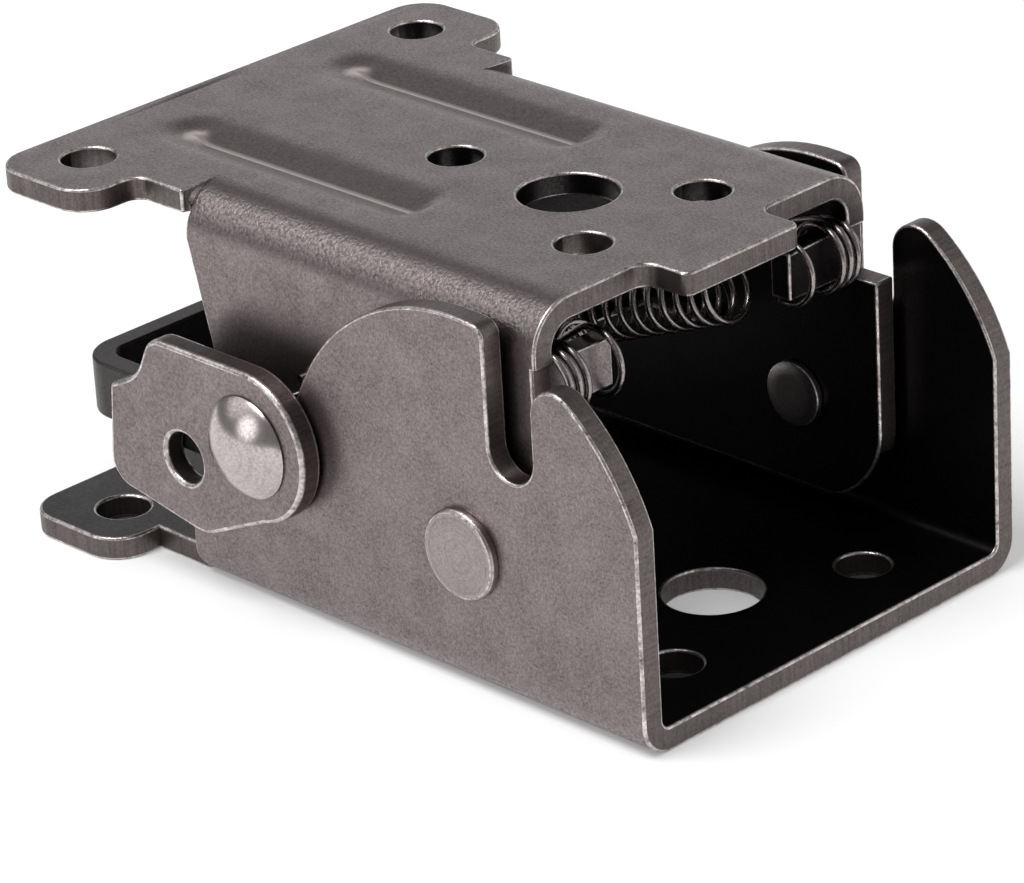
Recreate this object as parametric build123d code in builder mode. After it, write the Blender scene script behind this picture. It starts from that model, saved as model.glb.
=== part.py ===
from build123d import *
import os
from math import acos, atan2, cos, degrees, hypot, pi, radians, sin, sqrt

# Folding table hinge in pressed steel, in millimetres, drawn lying shut.
# The origin is the centre of the large hole in the base plate, on its underside.
# +X points to the open front, +Y to the far side and +Z up.

# Sheet and bends
sheet = 2.5
base_bend = 3.5
top_bend = 5.0

# Heights and widths
top_height = 40.0
inner_cheek_outside = 22.8
washer_thickness = 0.8
running_gap = 0.1

# Pivot
pivot_x = -6.7
pivot_z = 14.6
pivot_shank_r = 2.5
pivot_head_r = 4.6
pivot_head_height = 0.9
pivot_tail_r = 3.4
pivot_tail_height = 1.0
pivot_washer_r = 5.5
rivet_chamfer = 0.25
running_clearance = 0.05

# Base plate
fold_stop_gap = 0.2
base_rear_x = -68.0
base_ear_front_x = -53.5
base_ear_side = 30.2
large_hole_r = 5.0
screw_hole_r = 2.76
base_front_pair_x = 7.6
base_front_pair_y = 13.4
base_ear_hole_x = -59.8
base_ear_hole_y = 23.75
base_rear_hole_x = -32.0
corner_r = 4.0
neck_r = 1.5

# Outer cheeks of the lower bracket
cam_r = 24.2
outer_cheek_rear_x = -46.0
ledge_z = 11.5
ledge_corner_r = 4.0
ledge_root_r = 2.0
notch_clearance = 0.1
notch_rear_mouth_r = 1.5
notch_front_mouth_r = 3.0

# Lock pin, drawn resting behind the cam; its place is an angle up from the pivot's rear
lock_pin_r = 2.75
lock_pin_rest_angle = 8.7
lock_pin_rest_gap = 0.15
lock_pin_dome_r = 5.6
lock_pin_dome_height = 2.5
slot_clearance = 0.05

# Travel of the pin along the slots, seen from the pivot
slot_pull_x = -3.0
slot_pull_z = -1.6
slot_bend_x = -21.5
locked_x = -12.05
locked_z = 6.95

# Top plate
top_rear_x = -68.3
top_ear_front_x = -54.0
top_ear_side = 29.8
top_ear_hole_x = -61.5
top_ear_hole_y = 22.6
top_small_hole_x = -32.5
top_large_hole_x = -17.0
top_front_pair_x = -7.0
top_front_pair_y = 8.2
lug_front_x = 0.6
tongue_front_x = 6.0
tongue_half_width = 7.8
tongue_root_r = 1.8
tongue_corner_r = 1.0

# Stiffening grooves pressed into the top plate
groove_y = 11.2
groove_front_x = -24.0
groove_rear_x = -62.0
groove_half_width = 3.6
groove_depth = 1.2
groove_floor_half_width = 0.35

# Inner cheeks of the upper bracket; the backs are behind the lock pin
inner_cheek_top_back = 13.9
inner_cheek_low_back = 9.5
inner_cheek_heel_drop = 1.7
inner_cheek_bottom_z = 4.5
inner_cheek_toe_r = 11.4
inner_cheek_toe_start = 18.7
inner_cheek_heel_r = 7.0

# Spring tabs lanced out of the inner cheeks
tab_rear_x = -2.3
tab_front_x = 0.2
tab_drop = 6.2
tab_height = 5.0
tab_step = 0.2
tab_end_y = 12.2

# Springs
wire_r = 0.5
wire_sides = 6
body_steps_per_turn = 10
hook_steps_per_turn = 14
spring_mean_r = 3.35
return_spring_y = 10.6
return_spring_turns = 12
return_spring_pitch = 2.1
return_hook_y = 13.2
hook_wrap = 235
tab_coil_inner_y = 15.1
tab_coil_full_turns = 3
tab_coil_pitch = 1.2
leg_cam_gap = 1.1
leg_end_angle = 24.3
tab_leg_tip_y = 24.4
leg_hole_clearance = 0.1

# Lever plates: a nose round the lock pin, and a tail behind and below it
lever_gap = 0.3
lever_nose_r = 7.9
lever_shoulder_back = 11.8
lever_waist_back = 15.6
lever_waist_drop = 3.9
lever_rear_top_back = 20.1
lever_rear_top_drop = 6.7
lever_rear_low_back = 21.2
lever_rear_low_drop = 17.2
lever_belly_back = 7.3
lever_belly_drop = 19.6
lever_rear_corner_r = 3.0
lever_belly_r = 5.0
lever_waist_fall = 0.45
lever_nose_angle = 55
lever_hole_back = 9.6
lever_hole_drop = 4.0
lever_hole_r = 2.65

# Release handle, behind and beside the lock pin
handle_rear_back = 28.5
handle_front_back = 7.5
handle_drop = 4.7
handle_height = 6.0
handle_bend = 4.5

# Sizes that follow from the ones above
top_underside = top_height - sheet
base_front_x = pivot_x + top_underside - pivot_z - fold_stop_gap
inner_cheek_inside = inner_cheek_outside - sheet
outer_cheek_inside = inner_cheek_outside + running_gap + washer_thickness
outer_cheek_outside = outer_cheek_inside + sheet
lever_inside = outer_cheek_outside + lever_gap
lever_outside = lever_inside + sheet
notch_r = lock_pin_r + notch_clearance
rest_r = cam_r + lock_pin_r + lock_pin_rest_gap
lock_pin_x = pivot_x - rest_r * cos(radians(lock_pin_rest_angle))
lock_pin_z = pivot_z + rest_r * sin(radians(lock_pin_rest_angle))
inner_cheek_rear_top_x = lock_pin_x - inner_cheek_top_back
inner_cheek_rear_low_x = lock_pin_x - inner_cheek_low_back
inner_cheek_front_x = pivot_x + inner_cheek_toe_r * cos(radians(inner_cheek_toe_start))
slot_r = lock_pin_r + slot_clearance
notch_x = pivot_x + locked_z
notch_z = pivot_z - locked_x
groove_taper = degrees(atan2(groove_half_width - groove_floor_half_width, groove_depth))
tab_x = (tab_rear_x + tab_front_x) / 2
tab_top_z = top_height - tab_drop
tab_bottom_z = tab_top_z - tab_height
tab_z = tab_top_z - tab_height / 2
front_step_z = tab_bottom_z + tab_step
leg_end_r = cam_r + leg_cam_gap + wire_r
tab_leg_end_x = pivot_x - leg_end_r * cos(radians(leg_end_angle))
tab_leg_end_z = pivot_z + leg_end_r * sin(radians(leg_end_angle))
reach = 2 * lever_outside


def side_plane(y):
    """A plane across the hinge at a distance y, with X forwards and Z up."""
    return Plane(origin=(0, y, 0), x_dir=(1, 0, 0), z_dir=(0, -1, 0))


def cam_height(x):
    """Height of the cam arc above the floor at a place x."""
    return pivot_z + sqrt(cam_r**2 - (x - pivot_x) ** 2)


def nearest(shapes, x, y):
    """The vertex of a sketch that lies nearest to a point."""
    return shapes.sort_by_distance((x, y))[0:1]


# Lower bracket: a channel whose cheeks are the cams for the lock pin
cam_rear_x = pivot_x - cam_r
notch_rear_x = notch_x - notch_r
notch_front_x = notch_x + notch_r

with BuildPart() as lower_bracket:
    with BuildSketch(Plane.YZ.offset(outer_cheek_rear_x)):
        with Locations((0, reach / 2)):
            RectangleRounded(2 * outer_cheek_outside, reach, base_bend)
        with Locations((0, reach / 2 + sheet)):
            RectangleRounded(2 * outer_cheek_inside, reach, base_bend - sheet, mode=Mode.SUBTRACT)
    extrude(amount=base_front_x - outer_cheek_rear_x)

    with BuildSketch(Plane.XZ) as cheek:
        with Locations((pivot_x, pivot_z)):
            Circle(cam_r)
        with Locations(((cam_rear_x + base_front_x) / 2, pivot_z / 2)):
            Rectangle(base_front_x - cam_rear_x, pivot_z)
        with Locations(((outer_cheek_rear_x + base_front_x) / 2, ledge_z / 2)):
            Rectangle(base_front_x - outer_cheek_rear_x, ledge_z)
        with Locations(((outer_cheek_rear_x + base_front_x) / 2, reach / 2)):
            Rectangle(base_front_x - outer_cheek_rear_x, reach, mode=Mode.INTERSECT)
        with Locations((notch_x, notch_z)):
            Circle(notch_r, mode=Mode.SUBTRACT)
        with Locations((notch_x, notch_z + reach / 2)):
            Rectangle(2 * notch_r, reach, mode=Mode.SUBTRACT)
        fillet(nearest(cheek.vertices(), notch_front_x, cam_height(notch_front_x)), notch_front_mouth_r)
        fillet(nearest(cheek.vertices(), notch_rear_x, cam_height(notch_rear_x)), notch_rear_mouth_r)
        fillet(nearest(cheek.vertices(), outer_cheek_rear_x, ledge_z), ledge_corner_r)
        fillet(nearest(cheek.vertices(), cam_rear_x, ledge_z), ledge_root_r)
    extrude(amount=reach, both=True, mode=Mode.INTERSECT)

    with BuildSketch(Plane.XY) as base_tail:
        with Locations(((base_rear_x + base_ear_front_x) / 2, 0)):
            Rectangle(base_ear_front_x - base_rear_x, 2 * base_ear_side)
        fillet(base_tail.vertices(), corner_r)
        with Locations(((base_ear_front_x - corner_r + outer_cheek_rear_x) / 2, 0)):
            Rectangle(outer_cheek_rear_x - base_ear_front_x + corner_r, 2 * (outer_cheek_outside - base_bend / 2))
    extrude(amount=sheet)

    with BuildSketch(Plane.XY):
        Circle(large_hole_r)
        with Locations((base_rear_hole_x, 0)):
            Circle(screw_hole_r)
        for side in (-1, 1):
            with Locations((base_front_pair_x, side * base_front_pair_y)):
                Circle(screw_hole_r)
            with Locations((base_ear_hole_x, side * base_ear_hole_y)):
                Circle(screw_hole_r)
    extrude(amount=sheet, mode=Mode.SUBTRACT)

    with BuildSketch(Plane.XZ):
        with Locations((pivot_x, pivot_z)):
            Circle(pivot_shank_r)
    extrude(amount=reach, both=True, mode=Mode.SUBTRACT)

# Upper bracket: a channel turned over, pivoting inside the lower one
slot_points = [
    (lock_pin_x + slot_pull_x, lock_pin_z + slot_pull_z),
    (lock_pin_x, lock_pin_z),
    (pivot_x + slot_bend_x, pivot_z + locked_z),
    (pivot_x + locked_x, pivot_z + locked_z),
]
toe_z = pivot_z - inner_cheek_toe_r * sin(radians(inner_cheek_toe_start))
toe_base_x = pivot_x + sqrt(inner_cheek_toe_r**2 - (pivot_z - inner_cheek_bottom_z) ** 2)
toe_mid_angle = (radians(inner_cheek_toe_start) + acos((toe_base_x - pivot_x) / inner_cheek_toe_r)) / 2
toe_mid = (pivot_x + inner_cheek_toe_r * cos(toe_mid_angle), pivot_z - inner_cheek_toe_r * sin(toe_mid_angle))

with BuildPart() as upper_bracket:
    with BuildSketch(Plane.YZ.offset(inner_cheek_rear_top_x)):
        RectangleRounded(2 * inner_cheek_outside, 2 * top_height, top_bend)
        with Locations((0, -sheet)):
            RectangleRounded(2 * inner_cheek_inside, 2 * top_height, top_bend - sheet, mode=Mode.SUBTRACT)
    extrude(amount=tongue_front_x - inner_cheek_rear_top_x)

    with BuildSketch(Plane.XZ) as inner_cheek:
        with BuildLine():
            Polyline(
                toe_mid,
                (toe_base_x, inner_cheek_bottom_z),
                (inner_cheek_rear_low_x, inner_cheek_bottom_z),
                (inner_cheek_rear_low_x, lock_pin_z - inner_cheek_heel_drop),
                (inner_cheek_rear_top_x, top_underside - sheet),
                (inner_cheek_rear_top_x, top_height),
                (tongue_front_x, top_height),
                (tongue_front_x, top_underside),
                (lug_front_x, top_underside),
                (lug_front_x, front_step_z),
                (inner_cheek_front_x, front_step_z),
                (inner_cheek_front_x, toe_z),
                toe_mid,
            )
        make_face()
        fillet(nearest(inner_cheek.vertices(), inner_cheek_rear_low_x, inner_cheek_bottom_z), inner_cheek_heel_r)
    extrude(amount=reach, both=True, mode=Mode.INTERSECT)

    with BuildSketch(Plane.XY.offset(top_underside)) as top_tail:
        with Locations(((top_rear_x + top_ear_front_x) / 2, 0)):
            Rectangle(top_ear_front_x - top_rear_x, 2 * top_ear_side)
        fillet(top_tail.vertices(), corner_r)
        with Locations(((top_ear_front_x - corner_r + inner_cheek_rear_top_x) / 2, 0)):
            Rectangle(inner_cheek_rear_top_x - top_ear_front_x + corner_r, 2 * inner_cheek_outside)
        fillet(nearest(top_tail.vertices(), top_ear_front_x, inner_cheek_outside), neck_r)
        fillet(nearest(top_tail.vertices(), top_ear_front_x, -inner_cheek_outside), neck_r)
    extrude(amount=sheet)

    for side in (-1, 1):
        with BuildSketch(Plane.XY.offset(top_underside - sheet)) as front_corner:
            with Locations(((lug_front_x + tongue_front_x) / 2, side * (tongue_half_width + reach) / 2)):
                Rectangle(tongue_front_x - lug_front_x, reach - tongue_half_width)
            fillet(nearest(front_corner.vertices(), lug_front_x, side * tongue_half_width), tongue_root_r)
        extrude(amount=2 * sheet, mode=Mode.SUBTRACT)
    tongue_corners = upper_bracket.edges().filter_by(Axis.Z).filter_by_position(
        Axis.X, tongue_front_x, tongue_front_x
    )
    fillet(tongue_corners, tongue_corner_r)

    with BuildSketch(Plane.XY.offset(top_underside)):
        with Locations((top_large_hole_x, 0)):
            Circle(large_hole_r)
        with Locations((top_small_hole_x, 0)):
            Circle(screw_hole_r)
        for side in (-1, 1):
            with Locations((top_front_pair_x, side * top_front_pair_y)):
                Circle(screw_hole_r)
            with Locations((top_ear_hole_x, side * top_ear_hole_y)):
                Circle(screw_hole_r)
    extrude(amount=sheet, mode=Mode.SUBTRACT)

    for side in (-1, 1):
        for level, mode in ((top_underside, Mode.ADD), (top_height, Mode.SUBTRACT)):
            with BuildSketch(Plane.XY.offset(level)):
                with Locations(((groove_front_x + groove_rear_x) / 2, side * groove_y)):
                    SlotOverall(groove_front_x - groove_rear_x, 2 * groove_half_width)
            extrude(amount=-groove_depth, taper=groove_taper, mode=mode)

    with BuildSketch(Plane.XZ):
        for (x0, z0), (x1, z1) in zip(slot_points, slot_points[1:]):
            with Locations(((x0 + x1) / 2, (z0 + z1) / 2)):
                SlotCenterToCenter(hypot(x1 - x0, z1 - z0), 2 * slot_r, rotation=degrees(atan2(z1 - z0, x1 - x0)))
        with Locations((pivot_x, pivot_z)):
            Circle(pivot_shank_r + running_clearance)
        with Locations((tab_leg_end_x, tab_leg_end_z)):
            Circle(wire_r + leg_hole_clearance)
    extrude(amount=reach, both=True, mode=Mode.SUBTRACT)

    with BuildSketch(Plane.XZ):
        with Locations(((tab_front_x + inner_cheek_front_x) / 2, (front_step_z + tab_top_z) / 2)):
            Rectangle(inner_cheek_front_x - tab_front_x, tab_top_z - front_step_z)
    extrude(amount=reach, both=True, mode=Mode.SUBTRACT)
    for side in (-1, 1):
        with BuildSketch(side_plane(side * inner_cheek_inside)):
            with Locations((tab_x, tab_z)):
                Rectangle(tab_front_x - tab_rear_x, tab_top_z - tab_bottom_z)
        extrude(amount=side * (inner_cheek_inside - tab_end_y))

# Pivot rivets and the washers between the cheeks
rivets = []
washers = []
for side in (-1, 1):
    with BuildPart() as pivot_rivet:
        with BuildSketch(side_plane(side * (inner_cheek_inside - running_gap))):
            with Locations((pivot_x, pivot_z)):
                Circle(pivot_shank_r)
        extrude(amount=-side * (outer_cheek_outside - inner_cheek_inside + running_gap))
        with BuildSketch(side_plane(side * outer_cheek_outside)):
            with Locations((pivot_x, pivot_z)):
                Circle(pivot_head_r)
        extrude(amount=-side * pivot_head_height)
        with BuildSketch(side_plane(side * (inner_cheek_inside - running_gap))):
            with Locations((pivot_x, pivot_z)):
                Circle(pivot_tail_r)
        extrude(amount=side * pivot_tail_height)
        rims = pivot_rivet.edges().filter_by(GeomType.CIRCLE).group_by(Axis.Y)
        chamfer(rims[0] + rims[-1], rivet_chamfer)
    rivets.append(pivot_rivet.part)

    with BuildPart() as pivot_washer:
        with BuildSketch(side_plane(side * outer_cheek_inside)):
            with Locations((pivot_x, pivot_z)):
                Circle(pivot_washer_r)
                Circle(pivot_shank_r + running_clearance, mode=Mode.SUBTRACT)
        extrude(amount=side * washer_thickness)
    washers.append(pivot_washer.part)

# Lock pin: a straight shank with a domed head at each end
dome_sphere_r = (lock_pin_dome_r**2 + lock_pin_dome_height**2) / (2 * lock_pin_dome_height)

with BuildPart() as lock_pin:
    with BuildSketch(Plane.XY.offset(lock_pin_z)):
        with BuildLine():
            Polyline(
                (lock_pin_x, lever_outside + lock_pin_dome_height),
                (lock_pin_x, -lever_outside - lock_pin_dome_height),
            )
            for side in (-1, 1):
                RadiusArc(
                    (lock_pin_x, side * (lever_outside + lock_pin_dome_height)),
                    (lock_pin_x + lock_pin_dome_r, side * lever_outside),
                    side * dome_sphere_r,
                )
                Polyline(
                    (lock_pin_x + lock_pin_dome_r, side * lever_outside),
                    (lock_pin_x + lock_pin_r, side * lever_outside),
                )
            Line((lock_pin_x + lock_pin_r, -lever_outside), (lock_pin_x + lock_pin_r, lever_outside))
        make_face()
    revolve(axis=Axis((lock_pin_x, 0, lock_pin_z), (0, 1, 0)))

# Lever plates: the nose and tail as one outline, waisted at the upper rear
lever_top_z = lock_pin_z + lever_nose_r
nose_run = lever_nose_r * cos(radians(lever_nose_angle))
nose_drop = lever_nose_r * sin(radians(lever_nose_angle))
lever_points = [
    (lock_pin_x - lever_shoulder_back, lever_top_z),
    (lock_pin_x - lever_waist_back, lever_top_z - lever_waist_drop),
    (lock_pin_x - lever_rear_top_back, lever_top_z - lever_rear_top_drop),
    (lock_pin_x - lever_rear_low_back, lever_top_z - lever_rear_low_drop),
    (lock_pin_x - lever_belly_back, lever_top_z - lever_belly_drop),
    (lock_pin_x + nose_run, lock_pin_z - nose_drop),
    (lock_pin_x, lock_pin_z),
    (lock_pin_x, lever_top_z),
]
levers = []
for side in (-1, 1):
    with BuildPart() as lever_plate:
        with BuildSketch(side_plane(side * lever_inside)) as outline:
            with BuildLine():
                Spline(*lever_points[:3], tangents=[(-1, 0), (-1, -lever_waist_fall)])
                Polyline(*lever_points[2:], lever_points[0])
            make_face()
            fillet(nearest(outline.vertices(), *lever_points[3]), lever_rear_corner_r)
            fillet(nearest(outline.vertices(), *lever_points[4]), lever_belly_r)
            with Locations((lock_pin_x, lock_pin_z)):
                Circle(lever_nose_r)
                Circle(lock_pin_r, mode=Mode.SUBTRACT)
            with Locations((lock_pin_x - lever_hole_back, lock_pin_z - lever_hole_drop)):
                Circle(lever_hole_r, mode=Mode.SUBTRACT)
        extrude(amount=-side * sheet)
    levers.append(lever_plate.part)

# Release handle: a strip bent round the rear, joined to the lever plates
handle_length = handle_rear_back - handle_front_back
handle_front_x = lock_pin_x - handle_front_back

with BuildPart() as release_handle:
    with BuildSketch(Plane.XY.offset(lock_pin_z - handle_drop)):
        with Locations((handle_front_x, 0)):
            RectangleRounded(2 * handle_length, 2 * lever_inside, handle_bend)
        with Locations((handle_front_x + sheet, 0)):
            RectangleRounded(
                2 * handle_length, 2 * (lever_inside - sheet), handle_bend - sheet, mode=Mode.SUBTRACT
            )
        with Locations((handle_front_x - handle_length / 2, 0)):
            Rectangle(handle_length, 2 * lever_inside, mode=Mode.INTERSECT)
    extrude(amount=handle_height)

# Springs: wire led through points on turns, hooks and legs, made on the far side
pull_length = hypot(lock_pin_x - tab_x, lock_pin_z - tab_z)
pull_x = (lock_pin_x - tab_x) / pull_length
pull_z = (lock_pin_z - tab_z) / pull_length
body_length = return_spring_turns * return_spring_pitch
body_start = (pull_length - body_length) / 2


def on_pull_line(distance, rise, y):
    """A point seen from the tab: along the pull, raised square to it, and to the side."""
    return Vector(tab_x + pull_x * distance + pull_z * rise, y, tab_z + pull_z * distance - pull_x * rise)


def coil_points(centre, direction, first_point, pitch, turns, steps_per_turn, hand):
    """Points along a helix about an axis, from a first point on it; hand is 1 or -1."""
    outward = first_point - centre
    sideways = direction.cross(outward) * hand
    count = round(turns * steps_per_turn)
    points = []
    for step in range(count + 1):
        angle = 2 * pi * turns * step / count
        rise = direction * (pitch * turns * step / count)
        points.append(centre + rise + outward * cos(angle) + sideways * sin(angle))
    return points


def wire_through(points):
    """A wire led through points, with its corners mitred."""
    section = Plane(origin=points[0], z_dir=points[1] - points[0]) * RegularPolygon(wire_r, wire_sides)
    path = Wire.make_polygon(points, close=False)
    return sweep(section, path=path, transition=Transition.RIGHT)


# Return spring: a coil with a hook round the tab and another round the lock pin
hook_rise = sqrt(spring_mean_r**2 - (return_hook_y - return_spring_y) ** 2)
hook_start = atan2(hook_rise, body_start) + acos(spring_mean_r / hypot(hook_rise, body_start))
hook_steps = round(hook_steps_per_turn * hook_wrap / 360)
hooks = []
for anchor, facing in ((0, 1), (pull_length, -1)):
    hook_points = []
    for step in range(hook_steps + 1):
        angle = hook_start + radians(hook_wrap) * step / hook_steps
        distance = anchor + facing * spring_mean_r * cos(angle)
        hook_points.append(on_pull_line(distance, spring_mean_r * sin(angle), return_hook_y))
    hooks.append(hook_points)
body_points = coil_points(
    on_pull_line(body_start, 0, return_spring_y),
    Vector(pull_x, 0, pull_z),
    on_pull_line(body_start, hook_rise, return_hook_y),
    return_spring_pitch,
    return_spring_turns,
    body_steps_per_turn,
    1,
)
return_spring = wire_through(hooks[0][::-1] + body_points + hooks[1])

# Tab spring: a coil on the tab, one leg to the top plate and one back to the cheek
leg_run = hypot(tab_leg_end_x - tab_x, tab_leg_end_z - tab_z)
leg_direction = atan2(tab_leg_end_z - tab_z, tab_leg_end_x - tab_x)
leg_leaves = leg_direction - acos(spring_mean_r / leg_run)
tab_coil_turns = tab_coil_full_turns + ((leg_leaves - pi) / (2 * pi)) % 1
tab_coil_points = coil_points(
    Vector(tab_x, tab_coil_inner_y, tab_z),
    Vector(0, 1, 0),
    Vector(tab_x - spring_mean_r, tab_coil_inner_y, tab_z),
    tab_coil_pitch,
    tab_coil_turns,
    hook_steps_per_turn,
    -1,
)
leg_y = tab_coil_inner_y + tab_coil_pitch * tab_coil_turns
short_leg_tip = Vector(tab_x - spring_mean_r, tab_coil_inner_y, top_underside - wire_r)
leg_corner = Vector(tab_leg_end_x, leg_y, tab_leg_end_z)
leg_tip = Vector(tab_leg_end_x, tab_leg_tip_y, tab_leg_end_z)
tab_spring = wire_through([short_leg_tip, *tab_coil_points, leg_corner, leg_tip])

return_springs = [mirror(return_spring, about=Plane.XZ), return_spring]
tab_springs = [mirror(tab_spring, about=Plane.XZ), tab_spring]

# Labels and files
os.makedirs("parts", exist_ok=True)
lower_bracket.part.label = "lower_bracket"
export_step(lower_bracket.part, "parts/lower_bracket.step")
upper_bracket.part.label = "upper_bracket"
export_step(upper_bracket.part, "parts/upper_bracket.step")
lock_pin.part.label = "lock_pin"
export_step(lock_pin.part, "parts/lock_pin.step")
release_handle.part.label = "release_handle"
export_step(release_handle.part, "parts/release_handle.step")
pairs = {
    "pivot_rivet": rivets,
    "pivot_washer": washers,
    "lever_plate": levers,
    "return_spring": return_springs,
    "tab_spring": tab_springs,
}
for name, pair in pairs.items():
    for place, piece in zip(("near", "far"), pair):
        piece.label = f"{name}_{place}"
        export_step(piece, f"parts/{name}_{place}.step")
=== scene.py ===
import logging
import math
from dataclasses import dataclass, replace
from enum import Enum
from typing import Callable

import bmesh
import bpy
import numpy as np
from mathutils import Matrix, Vector


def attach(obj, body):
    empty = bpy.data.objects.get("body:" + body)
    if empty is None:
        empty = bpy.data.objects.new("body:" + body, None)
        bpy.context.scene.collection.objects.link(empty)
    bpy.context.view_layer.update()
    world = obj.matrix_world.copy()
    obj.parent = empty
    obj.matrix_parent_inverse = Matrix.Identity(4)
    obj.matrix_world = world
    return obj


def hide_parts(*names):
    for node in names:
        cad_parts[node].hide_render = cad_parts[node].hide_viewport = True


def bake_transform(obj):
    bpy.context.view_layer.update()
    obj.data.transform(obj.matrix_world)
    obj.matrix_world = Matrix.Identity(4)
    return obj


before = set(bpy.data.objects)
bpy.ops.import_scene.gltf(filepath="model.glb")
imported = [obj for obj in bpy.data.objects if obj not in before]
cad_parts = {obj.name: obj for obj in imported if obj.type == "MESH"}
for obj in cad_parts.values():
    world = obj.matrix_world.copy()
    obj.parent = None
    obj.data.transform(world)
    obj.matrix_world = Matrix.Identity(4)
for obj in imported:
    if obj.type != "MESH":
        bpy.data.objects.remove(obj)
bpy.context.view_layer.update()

MM = 0.001
LOG = logging.getLogger("hinge")
WHITE = (1.0, 1.0, 1.0, 1.0)
# A part of a unit normal below this counts as none
SQUARE = 0.05
# Places nearer than this count as one, and corners nearer than the second are merged, in millimetres
SAME_PLACE = 0.01
MERGE_DISTANCE = 0.002
# Faces that turn by less than this are joined, and edges that turn by more than the next are rounded
FLAT_ANGLE = math.radians(0.6)
ARRIS_ANGLE = math.radians(38)
ARRIS_STEPS = 3
# Edges that turn by more than this look sharp, on pressed pieces and on wires
SHADING_ANGLE = math.radians(34)
CAP_ANGLE = math.radians(60)

Socket = bpy.types.NodeSocket
Feed = bpy.types.NodeSocket | float | tuple[float, ...]


def linear(code: str) -> tuple[float, float, float, float]:
    """Turn an sRGB hex value into linear light.

    Args:
        code: Six hex digits after a hash.

    Returns:
        Linear red, green and blue, and an alpha of 1.
    """
    parts = [int(code[place : place + 2], 16) / 255 for place in (1, 3, 5)]
    light = [part / 12.92 if part <= 0.04045 else ((part + 0.055) / 1.055) ** 2.4 for part in parts]
    return (*light, 1.0)


def add_node(
    tree: bpy.types.NodeTree, kind: str, settings: dict | None = None, feeds: dict | None = None
) -> bpy.types.Node:
    """Add one node to a material or world.

    Args:
        tree: The node tree that takes it.
        kind: The node's Blender type.
        settings: Its properties by name.
        feeds: What goes into its sockets, by name or number: another node's socket, or a constant.

    Returns:
        The new node.
    """
    node = tree.nodes.new(kind)
    for name, value in (settings or {}).items():
        setattr(node, name, value)
    for name, value in (feeds or {}).items():
        if isinstance(value, bpy.types.NodeSocket):
            tree.links.new(value, node.inputs[name])
        else:
            node.inputs[name].default_value = value
    return node


def calculate(tree: bpy.types.NodeTree, operation: str, first: Feed, second: Feed = 0.0) -> Socket:
    """Add a calculation with one or two numbers.

    Args:
        tree: The node tree that takes it.
        operation: What it works out.
        first: Its first number.
        second: Its second number, where it needs one.

    Returns:
        The socket that carries the result.
    """
    return add_node(tree, "ShaderNodeMath", {"operation": operation}, {0: first, 1: second}).outputs[0]


def calculate_vector(
    tree: bpy.types.NodeTree, operation: str, first: Feed, second: Feed = (0.0, 0.0, 0.0)
) -> Socket:
    """Add a calculation with one or two vectors.

    Args:
        tree: The node tree that takes it.
        operation: What it works out.
        first: Its first vector.
        second: Its second vector, where it needs one.

    Returns:
        The socket that carries a number for a length, distance or dot product, and a vector otherwise.
    """
    node = add_node(tree, "ShaderNodeVectorMath", {"operation": operation}, {0: first, 1: second})
    return node.outputs["Value" if operation in ("LENGTH", "DISTANCE", "DOT_PRODUCT") else "Vector"]


def remap(
    tree: bpy.types.NodeTree,
    value: Feed,
    reach: tuple[float, float],
    result: tuple[float, float] = (0.0, 1.0),
    curve: str = "LINEAR",
) -> Socket:
    """Map a number from one range to another, and hold it at the ends.

    Args:
        tree: The node tree that takes the node.
        value: The number.
        reach: The range that it is read from.
        result: The range that it is mapped to.
        curve: How it goes from end to end.

    Returns:
        The socket that carries the mapped number.
    """
    feeds = {
        "Value": value,
        "From Min": reach[0],
        "From Max": reach[1],
        "To Min": result[0],
        "To Max": result[1],
    }
    return add_node(tree, "ShaderNodeMapRange", {"interpolation_type": curve}, feeds).outputs[0]


class Blend(Enum):
    """What a mix blends: the node's data type, its two inputs and its output."""

    NUMBERS = ("FLOAT", 2, 3, 0)
    COLOURS = ("RGBA", 6, 7, 2)


def mix(tree: bpy.types.NodeTree, what: Blend, share: Feed, first: Feed, second: Feed) -> Socket:
    """Blend two numbers or two colours.

    Args:
        tree: The node tree that takes the node.
        what: Whether they are numbers or colours.
        share: How much of the second there is, from 0 to 1.
        first: The first of them.
        second: The second of them.

    Returns:
        The socket that carries the blend.
    """
    kind, first_input, second_input, output = what.value
    feeds = {"Factor": share, first_input: first, second_input: second}
    return add_node(tree, "ShaderNodeMix", {"data_type": kind}, feeds).outputs[output]


def noise(tree: bpy.types.NodeTree, place: Socket, size: float, detail: float, roughness: float) -> Socket:
    """Add a cloudy pattern.

    Args:
        tree: The node tree that takes it.
        place: Coordinates in millimetres.
        size: The size of its largest spots in millimetres.
        detail: How many finer patterns lie on it.
        roughness: How strong the finer ones are.

    Returns:
        The socket that carries the pattern, from 0 to 1.
    """
    feeds = {"Vector": place, "Scale": 1 / size, "Detail": detail, "Roughness": roughness}
    return add_node(tree, "ShaderNodeTexNoise", feeds=feeds).outputs["Fac"]


def millimetres(tree: bpy.types.NodeTree, coordinates: bpy.types.Node) -> Socket:
    """Give an object's coordinates in millimetres.

    Args:
        tree: The node tree that takes the node.
        coordinates: The texture coordinate node.

    Returns:
        The socket that carries them.
    """
    feeds = {0: coordinates.outputs["Object"], "Scale": 1 / MM}
    return add_node(tree, "ShaderNodeVectorMath", {"operation": "SCALE"}, feeds).outputs[0]


class Marks(Enum):
    """Which way the tool marks of a finish run."""

    NONE = "none"
    ACROSS_CHEEK = "across_cheek"
    ACROSS_PLATE = "across_plate"
    TURNED = "turned"


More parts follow.
